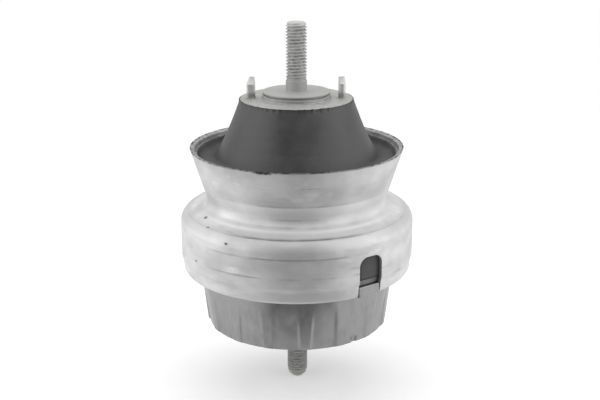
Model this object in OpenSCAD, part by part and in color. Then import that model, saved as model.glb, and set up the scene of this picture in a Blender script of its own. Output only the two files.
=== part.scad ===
// Hydraulic engine mount: threaded stud and cast core on a bonded rubber cone,
// inside a drawn housing that is crimped round a fluid insert and a ribbed cast base.
// Millimetres, +Z up along both studs, origin at the centre of the base's seat face.

/* [Studs] */
// thread major diameter of both studs
stud_d = 10; // [9.8:0.05:10]
// height of the upper stud's end above the base's seat
upper_stud_top = 146; // [135:0.5:160]
// reach of the lower stud below the base's seat
lower_stud_reach = 32.8; // [20:0.1:45]
// length of the chamfer at the upper stud's end
stud_chamfer = 1.0; // [0.5:0.1:1.5]
// diameter of the washer flange forged on the upper stud
flange_d = 32; // [28:0.5:34]
// thickness of that flange
flange_t = 0.8; // [0.7:0.1:1.6]
// diameter of the lower stud's pressed-in head
stud_head_d = 17; // [15:0.5:22]
// thickness of that head
stud_head_t = 5; // [4:0.5:8]

/* [Core] */
// height of the core's top disc above the seat
disc_z = 110.3; // [109:0.1:112]
// radius of the top disc
disc_r = 26.6; // [26:0.1:27]
// radius of the raised boss under the stud's flange
boss_r = 16.3; // [15.5:0.1:18]
// height of that boss above the disc
boss_h = 2.5; // [1:0.1:3]
// radius of the core's lower end
core_low_r = 11; // [9:0.5:13]
// height of the core's lower end above the seat
core_low_z = 76; // [74:0.5:80]
// depth of the stud's bore below the boss
core_bore_depth = 20; // [12:1:28]
// distance of the two locating pins from the stud's axis
pin_x = 21.5; // [20:0.1:23]
// height of the pins above the disc
pin_h = 9.8; // [5:0.1:12]
// diameter of the round pin
pin_round_d = 3.4; // [3:0.1:4]
// width of the flat-sided pin
pin_flat_w = 4.1; // [3.6:0.1:4.4]
// height of the pins' tapered tips
pin_tip_h = 3.0; // [1.5:0.5:4]

/* [Housing] */
// sheet thickness of the drawn housing
sheet_t = 1.8; // [1.4:0.1:2]
// outer radius of the funnel's rim
rim_r = 51; // [50.5:0.1:51.6]
// height of the rim above the seat
rim_z = 87.2; // [86.5:0.1:88.5]
// how far the rim's top edge falls towards the inside
rim_fall = 0.8; // [0.4:0.1:1.2]
// height of bare sheet inside the rim, above the rubber lining
rim_bare = 1.4; // [0.4:0.1:2]
// outer radius of the band at its lower end
band_r = 56.2; // [56:0.1:56.4]
// width of the slot in the band
slot_w = 13; // [12.8:0.1:14]
// height of the slot's top above the seat
slot_top_z = 46.8; // [43:0.1:48]
// corner radius of the slot's top
slot_corner_r = 4.5; // [3:0.1:5]
// direction of the slot, from the front towards the right
slot_az = 37; // [0:1:90]
// inner radius of the crimped lip under the base's flange
lip_r = 49.8; // [49:0.1:51]

/* [Rubber spring] */
// radius of the groove between the cone and the funnel's lining
groove_r = 4.6; // [4:0.1:5]
// distance of the groove's centre from the axis
groove_x = 42.6; // [42:0.1:43]
// height of the groove's centre above the seat
groove_z = 85.5; // [85:0.1:86]
// inner radius of the sealing skirt in the band
skirt_r = 47; // [47:0.1:48.5]

/* [Fluid insert] */
// outer radius of the clamped rim of the lower channel plate
plate_rim_r = 53.1; // [52.6:0.1:53.2]
// outer radius of both plates inside the skirt
plate_r = 46.9; // [46:0.1:46.9]
// inner radius of the ring channel
track_in_r = 34; // [30:0.5:36]
// outer radius of the ring channel
track_out_r = 43; // [41:0.5:44]
// angle that the ring channel runs through
track_sweep = 320; // [270:5:330]
// radius of the loose membrane
membrane_r = 23.3; // [21:0.1:23.6]
// thickness of the membrane
membrane_t = 3.3; // [2.5:0.1:4]
// radius of the pressure holes over the membrane
cage_hole_r = 2.5; // [2:0.1:2.8]
// wall thickness of the rolling diaphragm
diaphragm_t = 1.5; // [1.2:0.1:1.8]

/* [Base] */
// outer radius of the base at its bottom edge
base_low_r = 44.2; // [43.5:0.1:45]
// outer radius of the base just under its flange
base_top_r = 47.4; // [46.8:0.1:48]
// number of ribs round the base
rib_count = 16; // [8:1:18]
// direction of the first rib's centre, from the front towards the right
rib_az = 5; // [0:0.1:20]
// width of one rib as an angle
rib_angle = 8; // [7:0.5:14]
// depth of the pockets between the ribs at the bottom edge
pocket_depth = 1.0; // [0.6:0.1:2]
// height at which the pockets fade out
pocket_top_z = 23; // [16:0.5:25]
// thickness of the base's floor
floor_t = 7; // [6:0.5:9]
// width of the lug that keys the base into the housing's slot
lug_w = 12.5; // [11:0.1:12.6]
// radius of the notch in the bottom edge under the lug
notch_r = 2.4; // [1.5:0.1:3]

/* [Hidden] */
$fn = 144;
stud_r = stud_d/2;
boss_z = disc_z + boss_h;
flange_z = boss_z + flange_t;
// height levels of the clamped stack, from the crimped lip upwards
lip_z = 27;
flange_low_z = lip_z + sheet_t;
flange_top_z = flange_low_z + 3.4;
crimp_z = 34.9;
skirt_z = 35.2;
plate_joint_z = 41;
plate_top_z = 44.5;
membrane_z = 36.5;
pocket_floor_z = 35.5;
diaphragm_seat_z = flange_top_z - diaphragm_t;
// radius and centre of the housing's rounded shoulder
shoulder_r = 6.3;
shoulder_x = band_r - shoulder_r;
shoulder_z = 51.2;
// height of the small drawn step where the shoulder starts
step_t = 0.3;
// centre and radius of the waist's fillet under the funnel
waist_x = 48;
waist_z = 63.5;
waist_r = 4.4;
// centre and radius of the fold at the housing's crimped edge
fold_x = 52.9;
fold_r = 2.3;
// radius of the lower stud's shank where it is pressed into the base
press_r = stud_r + 0.5;

// points of an arc, from one angle to another
function arc(x, z, r, a0, a1, n) =
    [for (i = [0:n]) let (a = a0 + (a1 - a0)*i/n) [x + r*cos(a), z + r*sin(a)]];

// unit normal on the right-hand side of a step of a profile
function side(a, b) = let (d = (b - a)/norm(b - a)) [d[1], -d[0]];

// a profile moved sideways by t, with mitred corners
function moved(p, t) =
    [for (i = [0:len(p) - 1])
        let (n0 = side(p[max(i - 1, 0)], p[max(i, 1)]),
             n1 = side(p[min(i, len(p) - 2)], p[min(i + 1, len(p) - 1)]),
             s = n0 + n1)
        p[i] + 2*t*s/(s*s)];

function reversed(p) = [for (i = [len(p) - 1:-1:0]) p[i]];

// the point at height z on the line through a and b
function at_height(a, b, z) = a + (b - a)*(z - a[1])/(b[1] - a[1]);

// outside of the housing from its rim down to the crimped lip
shell_out = concat(
    [[rim_r, rim_z]],
    arc(waist_x, waist_z, waist_r, 162, 246, 8),
    arc(shoulder_x, shoulder_z, shoulder_r - step_t, 68, 64, 1),
    arc(shoulder_x, shoulder_z, shoulder_r, 60, 0, 8),
    [[band_r, skirt_z], [band_r, crimp_z], [band_r - 0.6, crimp_z - 2]],
    arc(fold_x, lip_z + fold_r, fold_r, 0, -90, 5),
    [[lip_r, lip_z]]);
shell_in = moved(shell_out, sheet_t);

// a ring point of the housing's inside near the rim, at a given height
function lining_at(z) = at_height(shell_in[0], shell_in[1], z);

module turned(points) {
    rotate_extrude()
        polygon(points);
}

// turns from the front towards the right as seen from the top
module facing(angle) {
    rotate([0, 0, angle - 90])
        children();
}

module upper_stud() {
    color([0.72, 0.72, 0.7])
        turned([
            [0, boss_z - core_bore_depth],
            [stud_r - 1, boss_z - core_bore_depth],
            [stud_r, boss_z - core_bore_depth + 1],
            [stud_r, boss_z],
            [flange_d/2 - 0.2, boss_z],
            [flange_d/2, boss_z + 0.2],
            [flange_d/2, flange_z - 0.25],
            [flange_d/2 - 0.25, flange_z],
            [stud_r, flange_z],
            [stud_r, upper_stud_top - stud_chamfer],
            [stud_r - stud_chamfer, upper_stud_top],
            [0, upper_stud_top]]);
}

module round_pin() {
    r = pin_round_d/2;
    cylinder(h = pin_h - pin_tip_h, r = r);
    translate([0, 0, pin_h - pin_tip_h])
        cylinder(h = pin_tip_h, r1 = r, r2 = 0.75*r);
}

module flat_pin() {
    r = pin_flat_w/2;
    intersection() {
        union() {
            cylinder(h = pin_h - pin_tip_h, r = r);
            translate([0, 0, pin_h - pin_tip_h])
                cylinder(h = pin_tip_h, r1 = r, r2 = 0.65*r);
        }
        translate([-r, -0.8*r, 0])
            cube([2*r, 1.6*r, pin_h]);
    }
}

// core from its top disc down to the blunt end in the rubber
module core_casting() {
    color([0.66, 0.66, 0.65])
        difference() {
            union() {
                turned(concat(
                    [[0, boss_z], [boss_r - 0.4, boss_z], [boss_r, boss_z - 0.4], [boss_r, disc_z + 0.3],
                     [boss_r + 0.3, disc_z], [disc_r - 0.3, disc_z], [disc_r, disc_z - 0.3], [disc_r, disc_z - 0.9],
                     [disc_r - 2, disc_z - 2.6]],
                    arc(core_low_r - 3, core_low_z + 3, 3, -25, -90, 5),
                    [[0, core_low_z]]));
                translate([pin_x, 0, disc_z])
                    round_pin();
                translate([-pin_x, 0, disc_z])
                    flat_pin();
            }
            translate([0, 0, boss_z - core_bore_depth])
                cylinder(h = core_bore_depth + 1, r = stud_r);
        }
}

// cone, groove and lining above; sealing skirt and fluid chamber's roof below
module rubber_spring() {
    lining_z = rim_z - rim_fall - rim_bare;
    color([0.07, 0.07, 0.07])
        turned(concat(
            [[disc_r - 2, disc_z - 2.6], [disc_r, disc_z - 0.9], [disc_r, disc_z - 0.3], [disc_r + 0.3, disc_z - 0.3],
             [disc_r + 0.5, disc_z - 1.4], [28.7, 104.7], [30.5, 100], [32.4, 95.6], [34.7, 90.6]],
            arc(groove_x, groove_z, groove_r, 210, 335, 9),
            [lining_at(lining_z) - [1, 0.4], lining_at(lining_z)],
            [for (i = [1:len(shell_in) - 1]) if (shell_in[i][1] > skirt_z - 0.01) shell_in[i]],
            [[skirt_r, skirt_z], [skirt_r, 47.5], [43.5, 53.5], [38, 59.5], [30, 65.5], [21, 71], [14.5, 74.6],
             [core_low_r - 3, core_low_z]],
            reversed(arc(core_low_r - 3, core_low_z + 3, 3, -25, -90, 5))));
}

// cutter for the slot, open at the band's lower edge
module slot_cutter() {
    r = slot_corner_r;
    low = lip_z - 1;
    translate([45, -slot_w/2, low])
        cube([15, slot_w, slot_top_z - r - low]);
    translate([45, r - slot_w/2, low])
        cube([15, slot_w - 2*r, slot_top_z - low]);
    for (y = [r - slot_w/2, slot_w/2 - r])
        translate([45, y, slot_top_z - r])
            rotate([0, 90, 0])
                cylinder(h = 15, r = r);
}

module housing_shell() {
    color([0.78, 0.78, 0.79])
        difference() {
            turned(concat(
                shell_out,
                reversed([for (i = [1:len(shell_in) - 1]) shell_in[i]]),
                [lining_at(rim_z - rim_fall)]));
            facing(slot_az)
                slot_cutter();
        }
}

// ring of holes over and under the membrane
module cage_holes(z, h) {
    for (ring = [[0, 1], [8.5, 6], [17, 12]])
        for (i = [0:ring[1] - 1])
            rotate([0, 0, 360*i/ring[1]])
                translate([ring[0], 0, z])
                    cylinder(h = h, r = cage_hole_r);
}

module upper_channel_plate() {
    mid = (track_in_r + track_out_r)/2;
    color([0.16, 0.16, 0.17])
        difference() {
            translate([0, 0, plate_joint_z])
                cylinder(h = plate_top_z - plate_joint_z, r = plate_r);
            cage_holes(plate_joint_z - 1, plate_top_z - plate_joint_z + 2);
            rotate([0, 0, 8])
                translate([mid, 0, plate_joint_z - 1])
                    cylinder(h = plate_top_z - plate_joint_z + 2, r = 3.5);
        }
}

module lower_channel_plate() {
    mid = (track_in_r + track_out_r)/2;
    color([0.2, 0.2, 0.21])
        difference() {
            turned([
                [0, flange_top_z], [plate_rim_r - 0.3, flange_top_z], [plate_rim_r, flange_top_z + 0.3],
                [plate_rim_r, skirt_z - 0.4], [plate_rim_r - 0.4, skirt_z], [plate_r, skirt_z],
                [plate_r, plate_joint_z], [0, plate_joint_z]]);
            rotate_extrude(angle = track_sweep)
                translate([track_in_r, pocket_floor_z])
                    square([track_out_r - track_in_r, 6]);
            rotate([0, 0, track_sweep - 8])
                translate([mid, 0, flange_top_z - 1])
                    cylinder(h = 6, r = 3.2);
            translate([0, 0, membrane_z])
                cylinder(h = 6, r = membrane_r + 0.5);
            cage_holes(flange_top_z - 1, 6);
        }
}

module decoupler_membrane() {
    color([0.09, 0.09, 0.09])
        translate([0, 0, membrane_z])
            turned([[0, 0], [membrane_r - 0.5, 0], [membrane_r, 0.5], [membrane_r, membrane_t - 0.5],
                    [membrane_r - 0.5, membrane_t], [0, membrane_t]]);
}

// middle line of the diaphragm, from its clamped edge to its axis
roll = concat(
    [[50, diaphragm_seat_z + diaphragm_t/2], [41.4, diaphragm_seat_z + diaphragm_t/2], [39.4, 29]],
    arc(34.2, 18.5, 4.9, 0, -180, 10),
    arc(23.6, 22.8, 4.6, 0, 90, 5),
    [[0, 27.4]]);

module rolling_diaphragm() {
    upper = moved(roll, diaphragm_t/2);
    lower = moved(roll, -diaphragm_t/2);
    color([0.08, 0.08, 0.08])
        turned(concat(upper, reversed(lower)));
}

// one pocket between two ribs, deepest at the bottom edge
module pocket() {
    a = 360/rib_count - rib_angle;
    top = at_height([base_low_r, 0.7], [base_top_r, flange_low_z - 1], pocket_top_z) - [0.3, 0];
    rotate([0, 0, rib_angle/2])
        rotate_extrude(angle = a)
            polygon([[base_low_r - pocket_depth - 0.1, -1], [base_low_r + 4, -1], top + [2, 0], top]);
}

module base_lug() {
    intersection() {
        translate([44, -lug_w/2, lip_z + 0.3])
            cube([14, lug_w, flange_top_z - lip_z - 0.3]);
        cylinder(h = 60, r = 55);
    }
}

// cup with flange, ribbed wall, key lug and a bore for the lower stud
module base_cup() {
    color([0.5, 0.5, 0.5])
        difference() {
            union() {
                turned([
                    [0, 0], [base_low_r - 0.7, 0], [base_low_r, 0.7], [base_top_r, flange_low_z - 1],
                    [base_top_r + 1, flange_low_z], [52.2, flange_low_z], [52.2, flange_top_z], [0, flange_top_z]]);
                facing(slot_az)
                    base_lug();
            }
            turned([
                [0, floor_t], [37.5, floor_t], [40.2, floor_t + 2.7], [41.2, diaphragm_seat_z - 1],
                [42.2, diaphragm_seat_z], [50.1, diaphragm_seat_z], [50.1, flange_top_z + 1],
                [0, flange_top_z + 1]]);
            for (i = [0:rib_count - 1])
                facing(rib_az + 360*i/rib_count)
                    pocket();
            facing(slot_az + 1)
                translate([base_low_r + 0.7, 0, -1])
                    cylinder(h = 4, r = notch_r);
            translate([0, 0, -1])
                cylinder(h = floor_t + 2, r = press_r);
        }
}

module lower_stud() {
    color([0.7, 0.7, 0.68])
        turned(concat(
            [[0, floor_t + stud_head_t], [stud_head_d/2 - 0.8, floor_t + stud_head_t],
             [stud_head_d/2, floor_t + stud_head_t - 0.8], [stud_head_d/2, floor_t], [press_r, floor_t],
             [press_r, 0], [stud_r, 0], [stud_r, -lower_stud_reach + 4.2], [stud_r - 0.5, -lower_stud_reach + 2.6]],
            arc(stud_r - 2.6, -lower_stud_reach + 2, 2, 15, -90, 5),
            [[0, -lower_stud_reach]]));
}

upper_stud();
core_casting();
rubber_spring();
housing_shell();
upper_channel_plate();
decoupler_membrane();
lower_channel_plate();
rolling_diaphragm();
base_cup();
lower_stud();
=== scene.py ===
import math
import bpy
import numpy as np
from mathutils import Matrix, Vector


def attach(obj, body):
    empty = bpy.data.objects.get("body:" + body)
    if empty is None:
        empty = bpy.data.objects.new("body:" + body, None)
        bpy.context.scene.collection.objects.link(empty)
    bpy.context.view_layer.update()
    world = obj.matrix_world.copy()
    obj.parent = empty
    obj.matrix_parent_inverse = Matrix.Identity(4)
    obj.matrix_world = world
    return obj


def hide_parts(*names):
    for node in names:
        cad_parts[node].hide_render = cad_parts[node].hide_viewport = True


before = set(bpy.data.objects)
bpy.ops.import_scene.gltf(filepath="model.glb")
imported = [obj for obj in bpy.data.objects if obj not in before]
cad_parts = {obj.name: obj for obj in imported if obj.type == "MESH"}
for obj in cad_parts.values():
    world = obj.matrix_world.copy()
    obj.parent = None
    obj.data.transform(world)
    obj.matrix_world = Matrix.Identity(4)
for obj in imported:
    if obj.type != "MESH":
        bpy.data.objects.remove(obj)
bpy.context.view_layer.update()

bl_info = {
    "name": "Engine mount",
    "version": (1, 0, 0),
    "blender": (4, 5, 0),
    "location": "3D View > Sidebar > Engine mount",
    "description": "Hydraulic mount with studs, core, rubber cone, drawn housing and ribbed base",
    "category": "Add Mesh",
}

MM = 0.001
UP = (0, 0, 1)
FRONT = (0, -1, 0)
SHARP = math.radians(40)

# Sizes in millimetres, the same as the solids', and angles from the front towards +X

STUD_R = 5
PIN_X = 21.5
SHEET = 1.8
BAND_R = 56.2
SLOT_AT = math.radians(37)
SLOT_HALF = 6.5
SLOT_CORNER = 4.5
SLOT_TOP = 46.8
DIE_RINGS = (39.5, 60.1, 63.1, 69.7)
RIBS = 16
FIRST_RIB = 5
FOOT_R = 44.2
FOOT_BEVEL = 0.7
WALL_DRAFT = 0.1181
POCKET_DRAFT = 0.143
NOTCH_AT = math.radians(38)
NOTCH_R = 2.4
NOTCH_CENTRE = 44.9
FLOOR_Z = -32.9

# Shapes


def rounded(points, steps=5):
    """Profile of (r, z, radius) points in millimetres with its corners rounded.

    A corner with a radius becomes a quadratic curve whose ends lie one tangent length from
    it, the radius times the tangent of half the turn, and at most 0.45 of either side.
    """
    corners = [np.array(p[:2], float) for p in points]
    out = []
    for i, corner in enumerate(corners):
        radius = points[i][2] if len(points[i]) > 2 else 0
        if radius == 0 or i in (0, len(points) - 1):
            out.append(corner)
            continue
        back, ahead = corners[i - 1] - corner, corners[i + 1] - corner
        a, b = np.linalg.norm(back), np.linalg.norm(ahead)
        cosine = np.clip(np.dot(back, ahead) / (a * b), -1, 1)
        half = max(math.acos(cosine) / 2, 0.05)
        reach = min(radius / math.tan(half), 0.45 * a, 0.45 * b)
        start, end = corner + back / a * reach, corner + ahead / b * reach
        t = np.linspace(0, 1, steps)[:, None]
        out.extend((1 - t) ** 2 * start + 2 * t * (1 - t) * corner + t * t * end)
    return np.array(out)


def arc(x, z, r, a0, a1, n):
    """Points of a circle's arc about (x, z) from angle a0 to a1 in degrees, in n steps."""
    a = np.radians(np.linspace(a0, a1, n + 1))
    return list(zip(x + r * np.cos(a), z + r * np.sin(a)))


def divided(profile, step):
    """The same profile with points added so that no step is longer than `step`."""
    lengths = np.linalg.norm(np.diff(profile, axis=0), axis=1)
    parts = np.maximum(1, np.ceil(lengths / step)).astype(int)
    stretches = [a + (b - a) * (np.arange(n) / n)[:, None]
                 for a, b, n in zip(profile[:-1], profile[1:], parts)]
    return np.concatenate(stretches + [profile[-1:]])


def offset(profile, t):
    """The profile moved to its right by t, each corner along the mean of its two normals."""
    d = np.diff(profile, axis=0)
    n = np.stack([d[:, 1], -d[:, 0]], 1) / np.linalg.norm(d, axis=1)[:, None]
    s = np.concatenate([n[:1] * 2, n[:-1] + n[1:], n[-1:] * 2])
    return profile + 2 * t * s / (s * s).sum(1)[:, None]


def normals(profile, ring):
    """Outward unit normals of a counter-clockwise profile: its tangents turned right by 90."""
    if ring:
        tangent = np.roll(profile, -1, 0) - np.roll(profile, 1, 0)
    else:
        tangent = np.gradient(profile, axis=0)
    n = np.stack([tangent[:, 1], -tangent[:, 0]], 1)
    return n / np.maximum(np.linalg.norm(n, axis=1), 1e-9)[:, None]


def lathe(profile, cols, ring, swell=None, push=None):
    """Profile (r, z) turned about Z: x = r sin(a), y = -r cos(a), with a from the front towards +X.

    `swell` gives how far each point stands out along the profile's normal and `push` how far
    it moves straight away from the axis, both from its angle, radius and height. A ring
    profile closes on itself, and another one ends on the axis.
    """
    a = np.linspace(0, 2 * np.pi, cols, endpoint=False)[None, :]
    r, z = profile[:, :1], profile[:, 1:]
    out = np.zeros((len(profile), cols)) if swell is None else swell(a, r, z)
    n = normals(profile, ring)
    rr = r + n[:, :1] * out + (0 if push is None else push(a, r, z))
    zz = z + n[:, 1:] * out
    rr = np.maximum(rr, 0)
    return np.stack([rr * np.sin(a), -rr * np.cos(a), zz * np.ones_like(a)], -1), ring


def prism(centre, turn, rows, power):
    """Upright block round a centre, turned from the front towards +X.

    A row (z, left, right, front, back) is a rounded rectangle |u|^p + |v|^p = 1, stretched
    and moved so that it reaches that far to each side.
    """
    z, left, right, front, back = np.array(rows, float).T[:, :, None]
    a = np.linspace(0, 2 * np.pi, 48, endpoint=False)[None, :]
    u = np.sign(np.sin(a)) * np.abs(np.sin(a)) ** (2 / power)
    v = np.sign(np.cos(a)) * np.abs(np.cos(a)) ** (2 / power)
    u = (right - left + (right + left) * u) / 2
    v = (front - back + (front + back) * v) / 2
    c, s = math.cos(turn), math.sin(turn)
    x, y = centre[0] + u * c + v * s, centre[1] + u * s - v * c
    return np.stack([x, y, z * np.ones_like(a)], -1), False


def joined(shells):
    """Vertices and groups of faces of several grids, each closed round its columns.

    A ring grid is closed over its rows as well. Any other one loses its first and last row
    and closes its ends over a pole, the mean of the row that it lost.
    """
    verts, quads, tris, base = [], [], [], 0
    for grid, ring in shells:
        rows, cols = grid.shape[:2]
        index = base + np.arange(rows * cols).reshape(rows, cols)
        if not ring:
            index = index[1:-1]
        low = index if ring else index[:-1]
        high = np.roll(index, -1, 0) if ring else index[1:]
        sides = [low, np.roll(low, -1, 1), np.roll(high, -1, 1), high]
        quads.append(np.stack(sides, -1).reshape(-1, 4))
        verts.append(grid.reshape(-1, 3))
        base += rows * cols
        if ring:
            continue
        for row, end, flip in ((index[0], grid[0], True), (index[-1], grid[-1], False)):
            ahead, pole = np.roll(row, -1), np.full_like(row, base)
            tris.append(np.stack([ahead, row, pole] if flip else [row, ahead, pole], -1))
            verts.append(end.mean(0)[None])
            base += 1
    return np.concatenate(verts), quads + tris


def piece(name, shells, node, finish):
    """Blender object of closed grids given in millimetres, which stands for the named node."""
    verts, groups = joined(shells)
    used = np.unique(np.concatenate([group.ravel() for group in groups]))
    new = np.zeros(len(verts), int)
    new[used] = np.arange(len(used))
    faces = [face for group in groups for face in new[group].tolist()]
    mesh = bpy.data.meshes.new(name)
    mesh.from_pydata((verts[used] * MM).tolist(), [], faces)
    mesh.validate()
    mesh.shade_smooth()
    mesh.set_sharp_from_angle(angle=SHARP)
    obj = bpy.data.objects.new(name, mesh)
    bpy.context.scene.collection.objects.link(obj)
    mesh.materials.append(finish)
    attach(obj, "root")
    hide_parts(node)
    return obj


def ripple(a, s, seed, turns, waves, count=9):
    """Smooth seeded unevenness between about -1 and 1: a sum of cosines over a root of their
    count, each of a whole number of turns in a, up to `waves` in s, and its own phase."""
    rng = np.random.default_rng(seed)
    total = 0
    for _ in range(count):
        total = total + np.cos(rng.integers(1, turns + 1) * a + rng.uniform(0, waves) * s
                               + rng.uniform(0, 6.3))
    return total / math.sqrt(count)


def ease(x):
    """Smooth step from 0 to 1: 3x^2 - 2x^3 of x kept between 0 and 1."""
    x = np.clip(x, 0, 1)
    return x * x * (3 - 2 * x)


def threaded(z0, z1, pitch, major):
    """Swell of a helical 60 degree thread between two heights.

    The depth under the crest is a triangle wave of z / pitch - a / 2 pi, cut off flat over an
    eighth of the pitch at the crest and a quarter at the root. It fades at both ends.
    """
    crest, root, deep = 1 / 8, 1 / 4, 0.6134

    def swell(a, r, z):
        wave = np.abs(((z / pitch - a / (2 * np.pi)) % 1) * 2 - 1)
        depth = np.clip((wave - crest) / (1 - crest - root), 0, 1) * deep * pitch
        on = ease((z - z0) / (0.8 * pitch)) * ease((z1 - z) / 0.6) * (z >= z0) * (z <= z1)
        return -np.maximum(depth - (major - r), 0) * on * (r > major - 1.2)
    return swell


SHELL_OUT = np.array(
    [(51.0, 87.2)]
    + arc(48, 63.5, 4.4, 162, 246, 14)
    + arc(49.9, 51.2, 6.0, 68, 64, 2)
    + arc(49.9, 51.2, 6.3, 60, 0, 16)
    + [(BAND_R, 35.2), (BAND_R, 34.9), (55.6, 32.9)]
    + arc(52.9, 29.3, 2.3, 0, -90, 8)
    + [(49.8, 27)])
SHELL_IN = offset(SHELL_OUT, SHEET)


def lining_at(z):
    """Point of the housing's inside at height z, on its straight stretch under the rim."""
    a, b = SHELL_IN[0], SHELL_IN[1]
    return a + (b - a) * (z - a[1]) / (b[1] - a[1])


def cut_slot(obj):
    """Takes the slot out of the band: a prism with rounded upper corners, turned to the slot."""
    low, near, far = 20.0, 48, 62
    inner, level = SLOT_HALF - SLOT_CORNER, SLOT_TOP - SLOT_CORNER
    side = np.array([(-SLOT_HALF, low)] + arc(-inner, level, SLOT_CORNER, 180, 90, 10)
                    + arc(inner, level, SLOT_CORNER, 90, 0, 10) + [(SLOT_HALF, low)])
    s, c = math.sin(SLOT_AT), math.cos(SLOT_AT)
    rings = [np.column_stack([d * s + side[:, 0] * c, side[:, 0] * s - d * c, side[:, 1]])
             for d in (near, far)]
    n = len(side)
    faces = [[n + i, n + (i + 1) % n, (i + 1) % n, i] for i in range(n)]
    faces += [list(range(n)), list(range(n, 2 * n))[::-1]]
    mesh = bpy.data.meshes.new("slot_cutter")
    mesh.from_pydata((np.concatenate(rings) * MM).tolist(), [], faces)
    cutter = bpy.data.objects.new("slot_cutter", mesh)
    bpy.context.scene.collection.objects.link(cutter)
    cut = obj.modifiers.new("slot", "BOOLEAN")
    cut.operation, cut.solver, cut.object = "DIFFERENCE", "EXACT", cutter
    graph = bpy.context.evaluated_depsgraph_get()
    done = bpy.data.meshes.new_from_object(obj.evaluated_get(graph))
    obj.modifiers.clear()
    obj.data = done
    done.set_sharp_from_angle(angle=SHARP)
    bpy.data.objects.remove(cutter)
    if len(done.polygons) < 1000:
        raise RuntimeError("the slot's cut left no housing")


# Material tools


def linear(code):
    """sRGB hex code to a linear colour."""
    c = [int(code[i:i + 2], 16) / 255 for i in (1, 3, 5)]
    return [v / 12.92 if v <= 0.04045 else ((v + 0.055) / 1.055) ** 2.4 for v in c] + [1.0]


def add(tree, kind, sets=None, links=None):
    """One node: `sets` fills its settings and sockets, `links` joins its sockets to others."""
    node = tree.nodes.new(kind)
    for key, value in (sets or {}).items():
        if isinstance(key, str) and hasattr(node, key):
            setattr(node, key, value)
        else:
            node.inputs[key].default_value = value
    for key, source in (links or {}).items():
        tree.links.new(source, node.inputs[key])
    return node


def blank(name):
    """Empty node material, and its tree with an output node."""
    mat = bpy.data.materials.new(name)
    mat.use_nodes = True
    mat.node_tree.nodes.clear()
    return mat, mat.node_tree, add(mat.node_tree, "ShaderNodeOutputMaterial")


def ramp(tree, source, stops):
    """Colour ramp over a value: each stop is its place and its grey level or hex colour."""
    node = add(tree, "ShaderNodeValToRGB", {}, {"Fac": source})
    elements = node.color_ramp.elements
    while len(elements) < len(stops):
        elements.new(0.5)
    for element, (place, value) in zip(elements, stops):
        element.position = place
        element.color = linear(value) if isinstance(value, str) else (value, value, value, 1)
    return node.outputs["Color"]


def pattern(tree, size, detail, stretch=(1, 1, 1)):
    """Noise over Object coordinates, in waves of `size` millimetres lengthened along X, Y, Z."""
    place = add(tree, "ShaderNodeTexCoord").outputs["Object"]
    turned = add(tree, "ShaderNodeMapping", {"Scale": [1 / s for s in stretch]},
                 {"Vector": place}).outputs[0]
    sets = {"Scale": 1 / (size * MM), "Detail": detail, "Roughness": 0.55}
    return add(tree, "ShaderNodeTexNoise", sets, {"Vector": turned}).outputs["Fac"]


def patches(tree, size, detail, low, high, stretch=(1, 1, 1)):
    """Pattern brought from one stop to another, each a place and its level or hex colour."""
    return ramp(tree, pattern(tree, size, detail, stretch), [low, high])


def blend(tree, share, under, over):
    """Colour `under` turned by a share into `over`, which is a fixed colour or a socket."""
    sets, links = {"data_type": "RGBA"}, {0: share, 6: under}
    (sets if isinstance(over, list) else links)[7] = over
    return add(tree, "ShaderNodeMix", sets, links).outputs[2]


def along(tree, direction, low, high):
    """Place along a direction in millimetres, or away from the axis for "R", from low..high
    brought to 0..1."""
    place = add(tree, "ShaderNodeTexCoord").outputs["Object"]
    if direction == "R":
        flat = add(tree, "ShaderNodeVectorMath", {"operation": "MULTIPLY", 1: (1, 1, 0)},
                   {0: place}).outputs[0]
        value = add(tree, "ShaderNodeVectorMath", {"operation": "LENGTH"},
                    {0: flat}).outputs["Value"]
    else:
        value = add(tree, "ShaderNodeVectorMath", {"operation": "DOT_PRODUCT", 1: direction},
                    {0: place}).outputs["Value"]
    return add(tree, "ShaderNodeMapRange", {1: low * MM, 2: high * MM}, {0: value}).outputs[0]


def largest(tree, *values):
    """The largest of several values."""
    top = values[0]
    for value in values[1:]:
        top = add(tree, "ShaderNodeMath", {"operation": "MAXIMUM"},
                  {0: top, 1: value}).outputs[0]
    return top


def times(tree, *factors):
    """Product of several values: sockets, and numbers after the first."""
    total = factors[0]
    for factor in factors[1:]:
        sets, links = {"operation": "MULTIPLY"}, {0: total}
        (sets if isinstance(factor, float) else links)[1] = factor
        total = add(tree, "ShaderNodeMath", sets, links).outputs[0]
    return total


def spots(tree, places, flat):
    """Soft spots: 1 inside each (x, y, z, radius) in millimetres, `flat` times lower than wide."""
    place = add(tree, "ShaderNodeTexCoord").outputs["Object"]
    place = add(tree, "ShaderNodeVectorMath", {"operation": "MULTIPLY", 1: (1, 1, flat)},
                {0: place}).outputs[0]
    near = []
    for x, y, z, r in places:
        centre = (x * MM, y * MM, flat * z * MM)
        far = add(tree, "ShaderNodeVectorMath", {"operation": "DISTANCE", 1: centre},
                  {0: place}).outputs["Value"]
        near.append(add(tree, "ShaderNodeMapRange", {1: r * MM, 2: 0.4 * r * MM},
                        {0: far}).outputs[0])
    return largest(tree, *near)


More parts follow.
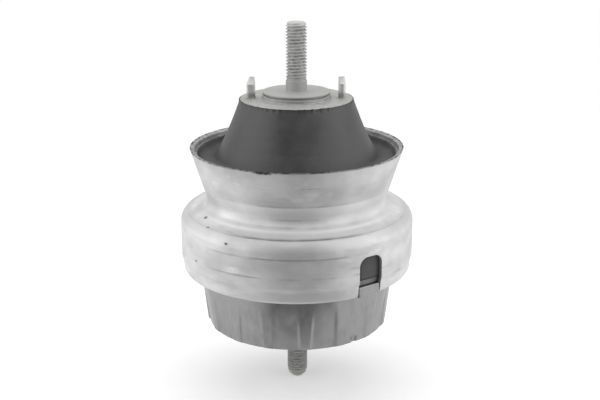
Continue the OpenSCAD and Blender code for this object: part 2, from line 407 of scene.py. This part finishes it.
def metal(name, dark, light, grain_mm, stretch, rough, bump_mm, marks=None):
    """Metal between two greys: broad cloudy tone, grain or draw lines, a roughness that follows
    the grain, and marks, which turn tone, roughness and metallic into others.

    The real grain is a few tenths of a millimetre and too fine to show, so it is drawn as
    coarse as the picture needs.
    """
    mat, tree, out = blank(name)
    cloud = patches(tree, 22, 3, (0.35, 0.0), (0.65, 0.6))
    grain = pattern(tree, grain_mm, 5, stretch)
    fine = ramp(tree, grain, [(0.3, dark), (0.7, light)])
    tone = blend(tree, cloud, fine, linear(light))
    spread = ramp(tree, grain, [(0.25, rough - 0.05), (0.75, rough + 0.05)])
    metallic = 1.0
    if marks:
        tone, spread, metallic = marks(tree, tone, spread)
    bump = add(tree, "ShaderNodeBump", {"Strength": 0.6, "Distance": bump_mm * MM},
               {"Height": grain})
    shader = add(tree, "ShaderNodeBsdfPrincipled", {},
                 {"Base Color": tone, "Roughness": spread, "Normal": bump.outputs[0]})
    if isinstance(metallic, float):
        shader.inputs["Metallic"].default_value = metallic
    else:
        tree.links.new(metallic, shader.inputs["Metallic"])
    tree.links.new(shader.outputs[0], out.inputs[0])
    return mat


# Materials


def shell_marks_and_painted_light(tree, tone, spread):
    """Marks of the press and of use on the housing, from its broad patches to its small stains, and
    painted highlights, shade and reflections round the waist and shoulder.
    """
    # Rubbed and pale patches, and streaks that run round
    rubbed = patches(tree, 13, 4, (0.38, 0.0), (0.66, 0.8), (1.6, 1.6, 0.9))
    pale = patches(tree, 7, 3, (0.6, 0.0), (0.74, 0.5), (1.8, 1.8, 0.8))
    streak = times(tree, patches(tree, 6, 3, (0.62, 0.0), (0.72, 0.5), (3, 3, 0.12)),
                   patches(tree, 12, 2, (0.5, 0.0), (0.62, 1.0)))
    tone = blend(tree, rubbed, tone, linear("#BEBEBF"))
    tone = blend(tree, pale, tone, linear("#E8E8E8"))
    tone = blend(tree, streak, tone, linear("#858585"))
    spread = blend(tree, rubbed, spread, [0.72, 0.72, 0.72, 1])
    # Painted highlight on the foot of the waist and on the ridge below it, at the front only
    foot = times(tree, along(tree, UP, 70.0, 68.8), along(tree, UP, 62.0, 64.2),
                 along(tree, FRONT, 20, 46), 0.65)
    ridge_highlight = times(tree, along(tree, "R", 45.2, 47.4), along(tree, "R", 49.3, 47.6),
                  along(tree, UP, 61, 60), along(tree, FRONT, 16, 38), 0.6)
    tone = blend(tree, largest(tree, foot, ridge_highlight), tone, linear("#F4F4F4"))
    # Painted shade on the shoulder, on both sides of its crease
    fall_shade = times(tree, along(tree, "R", 49.6, 52.2), along(tree, "R", 53.2, 52.6),
                 along(tree, UP, 56.0, 56.5), 0.45)
    bend_shade = times(tree, along(tree, "R", 52.4, 53.0), along(tree, UP, 52.5, 54.6), 0.45)
    tone = blend(tree, largest(tree, fall_shade, bend_shade), tone, linear("#B2B2B3"))
    # Painted dark reflections along the die's rings, and painted shade in the shoulder's crease,
    # both at the front only
    rings = largest(tree, *[times(tree, along(tree, UP, z - 0.6, z), along(tree, UP, z + 0.6, z))
                            for z in (*DIE_RINGS, 48.6)])
    rings = times(tree, rings, along(tree, FRONT, 36, 48),
                  patches(tree, 14, 3, (0.4, 0.0), (0.58, 0.7)))
    crease_shade = times(tree, along(tree, "R", 51.2, 52.4), along(tree, "R", 53.6, 52.6),
                   along(tree, UP, 56.0, 56.4), along(tree, FRONT, 42, 49),
                   patches(tree, 9, 3, (0.3, 0.5), (0.5, 1.0)))
    tone = blend(tree, largest(tree, rings, crease_shade), tone, linear("#8A8A8A"))
    # Grey sheared edge and bare inside at the rim
    bare = times(tree, along(tree, UP, 84.0, 84.4), along(tree, "R", 50.0, 49.6))
    sheared = largest(tree, along(tree, UP, 86.4, 86.6), bare)
    tone = blend(tree, sheared, tone, patches(tree, 3, 4, (0.3, "#848484"), (0.7, "#ACACAC")))
    # Dark film and nick at the rim, and stains on the shoulder and band
    film = times(tree, along(tree, UP, 86.6, 87.0), along(tree, "R", 50.1, 50.5),
                 patches(tree, 2.6, 4, (0.5, 0.0), (0.56, 1.0), (1, 1, 3)))
    nick = times(tree, spots(tree, [(-16.2, -48.3, 86.8, 4.2), (-13.0, -49.3, 86.5, 3.0)], 3.0),
                 patches(tree, 1.3, 4, (0.36, 0.0), (0.44, 1.0)))
    stained = [(-42.3, -23.8, 58.4, 1.5), (-40.6, -33.1, 56.6, 1.1),
               (-31.7, -46.0, 53.1, 1.6), (-46.8, -31.2, 39.7, 1.2)]
    stains = times(tree, spots(tree, stained, 2.2),
                   patches(tree, 0.9, 3, (0.35, 0.4), (0.55, 1.0)))
    dirt = largest(tree, film, nick, stains)
    tone = blend(tree, dirt, tone, linear("#141414"))
    return tone, spread, ramp(tree, dirt, [(0.0, 1.0), (1.0, 0.0)])


def drawn_aluminium():
    """Deep-drawn aluminium sheet: satin, with draw lines that run round, the marks of use, and
    painted highlights, shade and reflections round the waist and shoulder.
    """
    return metal("Drawn aluminium, satin", "#CFCFCF", "#D6D6D7", 3.2, (14, 14, 0.8), 0.64,
                 0.008, shell_marks_and_painted_light)


def cast_aluminium():
    """Die-cast aluminium: matt skin with fine grain and flow marks that run up the wall."""
    return metal("Die-cast aluminium, as cast", "#828282", "#979797", 3.5, (1, 1, 1.8), 0.36,
                 0.03)


def core_marks(tree, tone, spread):
    """Pins paler above their foot, and a darker mottle on the disc."""
    pins = times(tree, along(tree, UP, 112.0, 113.5), along(tree, "R", 17, 18))
    mottle = patches(tree, 2.2, 3, (0.45, 0.0), (0.66, 0.3))
    tone = blend(tree, mottle, tone, linear("#7C7C7B"))
    return blend(tree, pins, tone, linear("#CACAC8")), spread, 1.0


def tumbled_aluminium():
    """Cast aluminium that was tumbled: pale, matt and finely pitted."""
    return metal("Cast aluminium, tumbled", "#929291", "#AFAFAE", 1.0, (1, 1, 1), 0.68, 0.07,
                 core_marks)


def thread_marks_and_painted_light(tree, tone, spread):
    """Painted light: shank and threads brighter than the flange, to make up for the shade on their
    upright faces, and streaks darker in the thread roots.

    The plating is dull, so the whole stud is only partly metallic.
    """
    # Painted light: shank and threads of both studs brighter than the flange
    below = along(tree, UP, -0.1, -0.4)
    painted_light_stem = times(tree, along(tree, "R", 5.3, 5.1),
                 largest(tree, along(tree, UP, 113.7, 114.2), below))
    painted_light_threads = largest(tree, along(tree, UP, 120.2, 121.0), below)
    upper_run = times(tree, along(tree, UP, 119, 120), along(tree, UP, 144.0, 143.6))
    lower_run = times(tree, along(tree, UP, -0.5, -1.5), along(tree, UP, -29.6, -29.2))
    root = times(tree, along(tree, "R", 4.6, 4.25), largest(tree, upper_run, lower_run),
                 patches(tree, 2, 3, (0.42, 0.1), (0.6, 0.8)))
    tone = blend(tree, painted_light_stem, tone, linear("#A8A8A6"))
    tone = blend(tree, times(tree, painted_light_stem, painted_light_threads), tone, linear("#BEBEBC"))
    tone = blend(tree, times(tree, painted_light_stem, below), tone, linear("#AEAEAC"))
    return blend(tree, root, tone, linear("#7A7A78")), spread, 0.4


def zinc_steel():
    """Zinc-plated steel: even pale metal, slightly cloudy plating, painted light on the shank and
    threads, and thread roots darker in streaks.
    """
    return metal("Steel, zinc plated", "#A0A09E", "#B0B0AE", 0.8, (1, 1, 1), 0.7, 0.02,
                 thread_marks_and_painted_light)


def rubber_marks_and_painted_shade(tree, tone):
    """Dark flash along the core's disc, a dusty lip by the rim, painted shade on the lining deep
    inside the funnel, and a painted shadow round the border of what shows in the slot."""
    # Painted shade: the lining deep inside the funnel, near black
    deep = times(tree, along(tree, "R", 39, 44), along(tree, UP, 60, 62))
    tone = blend(tree, deep, tone, linear("#131313"))
    lip = times(tree, along(tree, UP, 84.2, 84.8), along(tree, "R", 47.4, 48.0))
    tone = blend(tree, lip, tone, patches(tree, 2, 4, (0.35, "#4A4A4A"), (0.65, "#8C8C8C")))
    flash = along(tree, UP, 109.5, 109.9)
    # Painted shadow: black along the slot's sides and top, and along its foot above the ledge
    across = (math.cos(SLOT_AT), math.sin(SLOT_AT), 0)
    side = largest(tree, along(tree, across, 3.4, 7.9), along(tree, across, -0.6, -5.1))
    corner = add(tree, "ShaderNodeCombineXYZ", {},
                 {0: side, 1: along(tree, UP, 41.7, 46.2)}).outputs[0]
    reach = add(tree, "ShaderNodeVectorMath", {"operation": "LENGTH"},
                {0: corner}).outputs["Value"]
    painted_shadow_border = add(tree, "ShaderNodeMapRange", {1: 0.74, 2: 0.84}, {0: reach}).outputs[0]
    edge = times(tree, along(tree, UP, 52, 51),
                 largest(tree, painted_shadow_border, along(tree, UP, 36.2, 35.6)))
    return blend(tree, largest(tree, flash, edge), tone, linear("#0B0B0B"))


def moulded_rubber(name="Natural rubber, moulded", dark="#262626", light="#464646", marks=None):
    """Moulded natural rubber: dark and dull, with a dusty bloom in patches and a matt skin,
    whose real grain is too fine to show and is drawn 0.8 mm wide."""
    mat, tree, out = blank(name)
    bloom, skin = pattern(tree, 14, 4), pattern(tree, 0.8, 3)
    tone = ramp(tree, bloom, [(0.3, dark), (0.75, light)])
    if marks:
        tone = marks(tree, tone)
    spread = ramp(tree, bloom, [(0.3, 0.42), (0.8, 0.6)])
    bump = add(tree, "ShaderNodeBump", {"Strength": 0.5, "Distance": 0.04 * MM},
               {"Height": skin})
    shader = add(tree, "ShaderNodeBsdfPrincipled", {"IOR": 1.52},
                 {"Base Color": tone, "Roughness": spread, "Normal": bump.outputs[0]})
    tree.links.new(shader.outputs[0], out.inputs[0])
    return mat


def thin_rubber():
    """Thin rubber moulding: darker than the cone's, because no dust reaches it."""
    return moulded_rubber("Rubber, thin moulding", "#1E1E1E", "#333333")


def moulded_nylon():
    """Glass-filled nylon, moulded: grey, matt, with a mottle from the fibres."""
    return moulded_rubber("Glass-filled nylon, moulded", "#555556", "#868687")


# Values that a user would change


class MountSizes(bpy.types.PropertyGroup):
    """Sizes of the pieces that the scene draws anew."""
    thread_pitch: bpy.props.FloatProperty(
        name="Thread pitch", description="Pitch of both studs' threads", default=0.0015,
        unit="LENGTH", subtype="DISTANCE", precision=5)
    rib_depth: bpy.props.FloatProperty(
        name="Pocket depth",
        description="Depth of the pockets between the base's ribs, at its lower edge",
        default=0.00096, unit="LENGTH", subtype="DISTANCE", precision=5)
    rib_angle: bpy.props.FloatProperty(
        name="Rib width", description="Width of one rib 8 mm above the base's seat, as an angle",
        default=math.radians(8), subtype="ANGLE")
    flash: bpy.props.FloatProperty(
        name="Rubber flash",
        description="Unevenness of the rubber's edges on the core and at the rim",
        default=0.00014, unit="LENGTH", subtype="DISTANCE", precision=5)


class StageColours(bpy.types.PropertyGroup):
    """Colours and light of the stage."""
    floor: bpy.props.FloatVectorProperty(
        name="Floor", description="Colour that the floor shows by itself", subtype="COLOR",
        size=3, min=0, max=1, default=(0.86, 0.86, 0.86))
    lamp_power: bpy.props.FloatProperty(
        name="Lamp power", description="Power of each large side lamp", default=6.0,
        unit="POWER")


# Pieces


class MOUNT_OT_studs(bpy.types.Operator):
    """Threaded studs with their helical threads"""
    bl_idname = "mount.studs"
    bl_label = "Studs"

    def execute(self, context):
        pitch = context.scene.mount_sizes.thread_pitch / MM
        steel = zinc_steel()
        upper = np.concatenate([
            divided(rounded([
                (0, 92.8), (4, 92.8), (5, 93.8), (5, 112.8), (15.8, 112.8, 0.1), (16, 113, 0.1),
                (16, 113.6, 0.25), (5, 113.6, 0.4), (5, 118.6, 0.2), (4.6, 118.9, 0.2),
                (4.6, 119.6)]), 0.6)[:-1],
            divided(np.array([(4.6, 119.6), (5, 120.4), (5, 144.4)]), 0.1)[:-1],
            divided(rounded([(5, 144.4), (4.6, 145.3, 0.5), (3.9, 146, 0.4), (0, 146)]), 0.3)])
        lower = np.concatenate([
            divided(rounded([
                (0, -32.8), (2.4, -32.8, 1.8), (4.3, -30.9, 1.5), (5, -28.6, 1.5), (5, 0)]),
                0.1)[:-1],
            divided(rounded([
                (5, 0), (5.5, 0), (5.5, 7), (8.5, 7), (8.5, 11.2, 0.5), (7.7, 12, 0.5),
                (0, 12)]), 0.6)])
        for name, profile, run in (("upper_stud", upper, (119.4, 145.9)),
                                   ("lower_stud", lower, (-31.4, -0.2))):
            stud = lathe(profile, 128, False, threaded(*run, pitch, STUD_R))
            piece(name + "_threaded", [stud], name, steel)
        return {"FINISHED"}


class MOUNT_OT_core(bpy.types.Operator):
    """Cast core with its disc, boss and two locating pins"""
    bl_idname = "mount.core"
    bl_label = "Core"

    def execute(self, context):
        profile = divided(rounded([
            (0, 76), (8, 76, 2), (11, 79, 2), (24.6, 107.7, 0.5), (26.6, 109.4, 0.2),
            (26.6, 110.0, 0.2), (26.3, 110.3, 0.3), (16.6, 110.3, 0.3), (16.3, 110.6, 0.2),
            (16.3, 111.9, 0.3), (15.9, 112.1, 0.2), (15.1, 112.2), (15.1, 112.8), (5, 112.8),
            (5, 92.8), (0, 92.8)]), 0.5)
        foot, top = 110.0, 120.1
        round_rows = [
            (foot, 0, 0, 0, 0), (foot, 2, 2, 2, 2), (110.5, 1.8, 1.8, 1.8, 1.8),
            (111.2, 1.7, 1.7, 1.7, 1.7), (117.0, 1.7, 1.7, 1.7, 1.7),
            (117.2, 1.7, 1.65, 1.5, 1.7), (119.8, 1.65, 1.4, -0.6, 1.6),
            (top, 1.5, 1.2, -0.7, 1.4), (top, 0, 0, -0.9, 0.9)]
        flat_rows = [
            (foot, 0, 0, 0, 0), (foot, 2.4, 2.4, 2, 2), (110.5, 2.2, 2.2, 1.8, 1.8),
            (111.2, 2.05, 2.05, 1.65, 1.65), (116.8, 2.05, 2.05, 1.65, 1.65),
            (117.0, 1.95, 2.05, 1.45, 1.6), (119.8, 0.9, 1.8, -0.6, 1.5),
            (top, 0.7, 1.6, -0.7, 1.3), (top, 0, 0, -0.9, 0.9)]

        def skin(a, r, z):
            """Cast unevenness of the disc and boss."""
            return 0.06 * ripple(a, z + r, 3, 9, 1.2) * (r > 6) * (z > 105)

        piece("core_with_pins",
              [lathe(profile, 192, False, skin), prism((PIN_X, 0), 0, round_rows, 2.3),
               prism((-PIN_X, 0), 0, flat_rows, 3.4)],
              "core_casting", tumbled_aluminium())
        return {"FINISHED"}


class MOUNT_OT_rubber(bpy.types.Operator):
    """Rubber cone, groove, lining and sealing skirt"""
    bl_idname = "mount.rubber"
    bl_label = "Rubber"

    def execute(self, context):
        flash = context.scene.mount_sizes.flash / MM
        wall = [tuple(p) for p in SHELL_IN[1:] if p[1] > 35.19]
        outer = ([(24.6, 107.7), (26.6, 109.4), (26.6, 110.0), (26.9, 110.0, 0.1),
                  (27.1, 108.9, 0.4), (28.7, 104.7, 4), (30.5, 100, 4), (32.4, 95.6, 4),
                  (34.7, 90.6, 4)]
                 + arc(42.6, 85.5, 4.6, 210, 335, 16)
                 + [tuple(lining_at(85.0) - [1, 0.4]), tuple(lining_at(85.0))])
        inner = [(47, 35.2), (47, 47.5, 2), (43.5, 53.5, 2), (38, 59.5, 2), (30, 65.5, 2),
                 (21, 71, 2), (14.5, 74.6, 1), (8, 76), (10.6, 77.6)]
        profile = divided(rounded(outer + wall + inner)[::-1], 0.8)

        def skin(a, r, z):
            """Flash along the disc and the rim, and a slight waviness of the cone."""
            edge = (np.exp(-((r - 26.9) / 0.6) ** 2) * (z > 108.5)
                    + np.exp(-((z - 85) / 0.6) ** 2) * (r > 46))
            return (flash * (ripple(a, z, 11, 90, 0.1, 30) + 0.3) * edge
                    + 0.05 * ripple(a, z, 5, 7, 0.3) * (z > 80))

        piece("rubber_cone", [lathe(profile, 320, True, skin)], "rubber_spring",
              moulded_rubber(marks=rubber_marks_and_painted_shade))
        return {"FINISHED"}


class MOUNT_OT_housing(bpy.types.Operator):
    """Drawn housing with its slot and crimped edge"""
    bl_idname = "mount.housing"
    bl_label = "Housing"

    def execute(self, context):
        outside = divided(SHELL_OUT, 0.4)
        inside = np.concatenate([[lining_at(86.4)], SHELL_IN[1:]])
        profile = np.concatenate([divided(inside, 1.2), outside[::-1]])

        def skin(a, r, z):
            """Waviness of the sheet less the die's rings, kept inside the band's radius."""
            rings = sum(np.exp(-((z - height) / 0.35) ** 2) for height in DIE_RINGS)
            wave = 0.05 * ripple(a, z, 21, 5, 0.15) * (z < 86) - 0.05 * rings * (r > 47)
            return np.minimum(wave, BAND_R - r)

        cut_slot(piece("drawn_housing", [lathe(profile, 256, True, skin)], "housing_shell",
                       drawn_aluminium()))
        return {"FINISHED"}


class MOUNT_OT_base(bpy.types.Operator):
    """Cast base with ribs, pockets, flange and the lug in the slot"""
    bl_idname = "mount.base"
    bl_label = "Base"

    def execute(self, context):
        sizes = context.scene.mount_sizes
        depth, width = sizes.rib_depth / MM, math.degrees(sizes.rib_angle)
        # Heights of the wall's rows, with a pair round 3 mm, where the notch ends
        wall = np.concatenate([np.linspace(FOOT_BEVEL, 2.95, 5), np.linspace(3.05, 27.6, 44)])
        profile = np.concatenate([
            divided(np.array([(5.5, 0), (42.4, 0)]), 6)[:-1],
            rounded([(42.4, 0), (43.5, 0), (FOOT_R, FOOT_BEVEL)])[:-1],
            np.stack([FOOT_R + WALL_DRAFT * (wall - FOOT_BEVEL), wall], 1),
            divided(rounded([
                (47.4, 27.8), (48.4, 28.8, 0.3), (52.2, 28.8, 0.3), (52.2, 32.2, 0.3),
                (50.1, 32.2), (50.1, 30.7), (42.2, 30.7), (41.2, 29.7), (40.2, 9.7, 2),
                (37.5, 7, 2), (5.5, 7)]), 6)])

        def pockets(a, r, z):
            """Push to the pockets and the notch.

            Off the ribs the radius falls to 44.2 - depth + 0.143 z, with soft flanks and a
            run-out from 12 to 23 mm up. In the bottom edge it falls to the notch's arc.
            """
            pitch = 360 / RIBS
            off = np.abs((np.degrees(a) - FIRST_RIB + pitch / 2) % pitch - pitch / 2)
            flank = ease((off - width / 2 - 0.055 * (z - 8) + 1.1) / 2.1)
            on = flank * (1 - ease((z - 12) / 11)) * (r > 42) * (z < 24)
            pocket = r - on * np.maximum(r - FOOT_R + depth - POCKET_DRAFT * z, 0)
            side = NOTCH_CENTRE * np.sin(a - NOTCH_AT)
            ahead = NOTCH_CENTRE * np.cos(a - NOTCH_AT)
            inside = (ahead > 0) & (np.abs(side) < NOTCH_R) & (z < 3) & (r > 42)
            notch = ahead - np.sqrt(np.maximum(NOTCH_R ** 2 - side ** 2, 0))
            return np.where(inside, np.minimum(pocket, notch), pocket) - r

        def skin(a, r, z):
            """Cast unevenness of the wall."""
            return 0.06 * ripple(a, z, 31, 30, 0.3) * (r > 43) * (z > 1) * (z < 27)

        middle = (50 * math.sin(SLOT_AT), -50 * math.cos(SLOT_AT))
        rows = [(27.3, 0, 0, 0, 0), (27.3, 6.1, 6.1, 4.8, 3), (27.5, 6.25, 6.25, 5, 3),
                (32.0, 6.25, 6.25, 5, 3), (32.2, 6.1, 6.1, 4.8, 3), (32.2, 0, 0, 0, 0)]
        piece("ribbed_base",
              [lathe(profile, 720, True, skin, pockets), prism(middle, SLOT_AT, rows, 16)],
              "base_cup", cast_aluminium())
        return {"FINISHED"}


class MOUNT_OT_insert(bpy.types.Operator):
    """Finishes of the parts inside the closed housing"""
    bl_idname = "mount.insert"
    bl_label = "Fluid insert"

    def execute(self, context):
        nylon, rubber = moulded_nylon(), thin_rubber()
        for name, finish in (("upper_channel_plate", nylon), ("lower_channel_plate", nylon),
                             ("decoupler_membrane", rubber), ("rolling_diaphragm", rubber)):
            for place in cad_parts[name].material_slots:
                place.material = finish
        return {"FINISHED"}


# Stage in metres

LAMP_TARGET = (0, 0, 0.05)
FOCAL_PX = 1121
FRAME_PX = 600
CAMERA_PITCH = math.radians(16.84)
CAMERA_ROLL = math.radians(-0.15)
CAMERA_PLACE = (0.00155, -0.5211, 0.2174)


class MOUNT_OT_stage(bpy.types.Operator):
    """Floor, lamps, dark cards, world and camera"""
    bl_idname = "mount.stage"
    bl_label = "Stage"

    def execute(self, context):
        scene = context.scene
        colours = scene.mount_stage
        floor_stage(colours.floor)
        lamp_stage(scene, colours.lamp_power)
        card_stage()
        world_stage(scene)
        camera_stage(scene)
        scene.view_settings.view_transform = "Standard"
        return {"FINISHED"}


def lamp_stage(scene, power):
    """Large soft lamps to the left and the right of the object and above it."""
    for name, place, size, share in (("lamp_left", (-1.0, -0.3, 0.5), (1.3, 1.1), 1),
                                     ("lamp_right", (1.0, -0.3, 0.5), (1.3, 1.1), 1),
                                     ("lamp_top", (0.0, 0.3, 1.1), (1.2, 1.0), 0.8)):
        lamp = bpy.data.lights.new(name, "AREA")
        lamp.shape, lamp.energy = "RECTANGLE", share * power
        lamp.size, lamp.size_y = size
        obj = bpy.data.objects.new(name, lamp)
        scene.collection.objects.link(obj)
        turn = (Vector(place) - Vector(LAMP_TARGET)).normalized().to_track_quat("Z", "Y")
        obj.matrix_world = Matrix.Translation(place) @ turn.to_matrix().to_4x4()


def white_rays(tree):
    """1 for the rays that see the backdrop: the camera's, and those off glossy or through
    clear surfaces."""
    path = add(tree, "ShaderNodeLightPath").outputs
    return largest(tree, path["Is Camera Ray"], path["Is Transmission Ray"],
                   path["Is Glossy Ray"])


def sheet(name, corners, mat):
    """Flat stage piece from its corners."""
    mesh = bpy.data.meshes.new(name)
    mesh.from_pydata([list(c) for c in corners], [], [list(range(len(corners)))])
    mesh.materials.append(mat)
    obj = bpy.data.objects.new(name, mesh)
    bpy.context.scene.collection.objects.link(obj)


def floor_stage(colour):
    """Round paper floor under the lower stud's end: matt and slightly mottled, thinning out
    into the white surroundings, and clear to the camera from below."""
    mat, tree, out = blank("Paper backdrop")
    grain = patches(tree, 30, 3, (0.0, 0.86), (1.0, 0.90))
    shader = add(tree, "ShaderNodeBsdfPrincipled",
                 {"Roughness": 0.9, "Emission Color": list(colour) + [1]},
                 {"Base Color": grain, "Emission Strength": times(tree, white_rays(tree), 0.3)})
    clear = add(tree, "ShaderNodeBsdfTransparent")
    under = times(tree, add(tree, "ShaderNodeNewGeometry").outputs["Backfacing"],
                  add(tree, "ShaderNodeLightPath").outputs["Is Camera Ray"])
    gone = largest(tree, along(tree, "R", 250, 850), under)
    mixed = add(tree, "ShaderNodeMixShader", {},
                {0: gone, 1: shader.outputs[0], 2: clear.outputs[0]})
    tree.links.new(mixed.outputs[0], out.inputs[0])
    a, reach = np.linspace(0, 2 * np.pi, 64, endpoint=False), 0.86
    edge = [reach * np.cos(a), reach * np.sin(a), np.full_like(a, FLOOR_Z * MM)]
    sheet("floor", np.stack(edge, -1).tolist(), mat)


def card_material(name, cover):
    """Dark card, matt: it stops a share of the mirrored rays and no others, so it casts no
    shadow."""
    card, tree, out = blank(name)
    tone = patches(tree, 40, 2, (0.0, "#3E3E3E"), (1.0, "#484848"))
    dark = add(tree, "ShaderNodeBsdfDiffuse", {}, {"Color": tone})
    clear = add(tree, "ShaderNodeBsdfTransparent")
    mirrored = times(tree, add(tree, "ShaderNodeLightPath").outputs["Is Glossy Ray"], cover)
    mixed = add(tree, "ShaderNodeMixShader", {},
                {0: mirrored, 1: clear.outputs[0], 2: dark.outputs[0]})
    tree.links.new(mixed.outputs[0], out.inputs[0])
    return card


def card_stage():
    """Dark cards that only mirrored rays see: upright behind the camera, flat on the floor
    before and behind the object, and low and half clear by its base. They give the metal's
    front the photograph's darker middle."""
    card, pale = card_material("Black card", 1.0), card_material("Grey card", 0.62)
    behind, wide, tall, foot = -0.95, 0.8, 0.8, -0.03
    sheet("card_behind", [(-wide, behind, foot), (wide, behind, foot), (wide, behind, tall),
                          (-wide, behind, tall)], card)
    wedge, wedge_z = [(-0.11, 0.14), (-0.8, 0.95), (0.8, 0.95), (0.11, 0.14)], -0.0325
    low, low_y = [(-0.05, -0.02), (0.05, -0.02), (0.05, 0.008), (-0.05, 0.008)], 0.075
    for name, side in (("front", -1), ("back", 1)):
        sheet("card_far_" + name, [(x, side * y, wedge_z) for x, y in wedge], card)
        sheet("card_low_" + name, [(x, side * low_y, z) for x, z in low], pale)


def world_stage(scene):
    """Even surroundings: grey as a light, and white to the camera and to metal, clear or
    polished surfaces."""
    world = bpy.data.worlds.new("Studio")
    scene.world = world
    world.use_nodes = True
    tree = world.node_tree
    tree.nodes.clear()
    strength = add(tree, "ShaderNodeMath", {"operation": "MULTIPLY_ADD", 1: 0.5, 2: 0.5},
                   {0: white_rays(tree)}).outputs[0]
    sky = add(tree, "ShaderNodeBackground", {"Color": (1, 1, 1, 1)}, {"Strength": strength})
    out = add(tree, "ShaderNodeOutputWorld")
    tree.links.new(sky.outputs[0], out.inputs[0])


def camera_stage(scene):
    """Camera of the photograph, from its focal length in pixels, place, pitch and roll."""
    lens = bpy.data.cameras.new("camera")
    lens.sensor_width = 36
    lens.lens = 36 * FOCAL_PX / FRAME_PX
    forward = np.array([0, math.cos(CAMERA_PITCH), -math.sin(CAMERA_PITCH)])
    side = np.array([1.0, 0, 0])
    up = np.array([0, math.sin(CAMERA_PITCH), math.cos(CAMERA_PITCH)])
    right = math.cos(CAMERA_ROLL) * side + math.sin(CAMERA_ROLL) * up
    top = -math.sin(CAMERA_ROLL) * side + math.cos(CAMERA_ROLL) * up
    obj = bpy.data.objects.new("camera", lens)
    rows = np.column_stack([right, top, -forward, CAMERA_PLACE]).tolist()
    obj.matrix_world = Matrix(rows + [[0, 0, 0, 1]])
    scene.collection.objects.link(obj)
    scene.camera = obj


# Panel and registration


class MOUNT_PT_panel(bpy.types.Panel):
    """Sidebar panel with the sizes and the pieces"""
    bl_label = "Engine mount"
    bl_idname = "MOUNT_PT_panel"
    bl_space_type = "VIEW_3D"
    bl_region_type = "UI"
    bl_category = "Engine mount"

    def draw(self, context):
        for group in (context.scene.mount_sizes, context.scene.mount_stage):
            for key in group.__annotations__:
                self.layout.prop(group, key)
        for operator in OPERATORS:
            self.layout.operator(operator.bl_idname)


OPERATORS = [MOUNT_OT_studs, MOUNT_OT_core, MOUNT_OT_rubber, MOUNT_OT_housing, MOUNT_OT_base,
             MOUNT_OT_insert, MOUNT_OT_stage]
CLASSES = [MountSizes, StageColours] + OPERATORS + [MOUNT_PT_panel]


def register():
    for cls in CLASSES:
        bpy.utils.register_class(cls)
    bpy.types.Scene.mount_sizes = bpy.props.PointerProperty(type=MountSizes)
    bpy.types.Scene.mount_stage = bpy.props.PointerProperty(type=StageColours)


def unregister():
    del bpy.types.Scene.mount_stage
    del bpy.types.Scene.mount_sizes
    for cls in reversed(CLASSES):
        bpy.utils.unregister_class(cls)


def main():
    register()
    for operator in OPERATORS:
        group, name = operator.bl_idname.split(".")
        getattr(getattr(bpy.ops, group), name)()


if __name__ == "__main__":
    main()
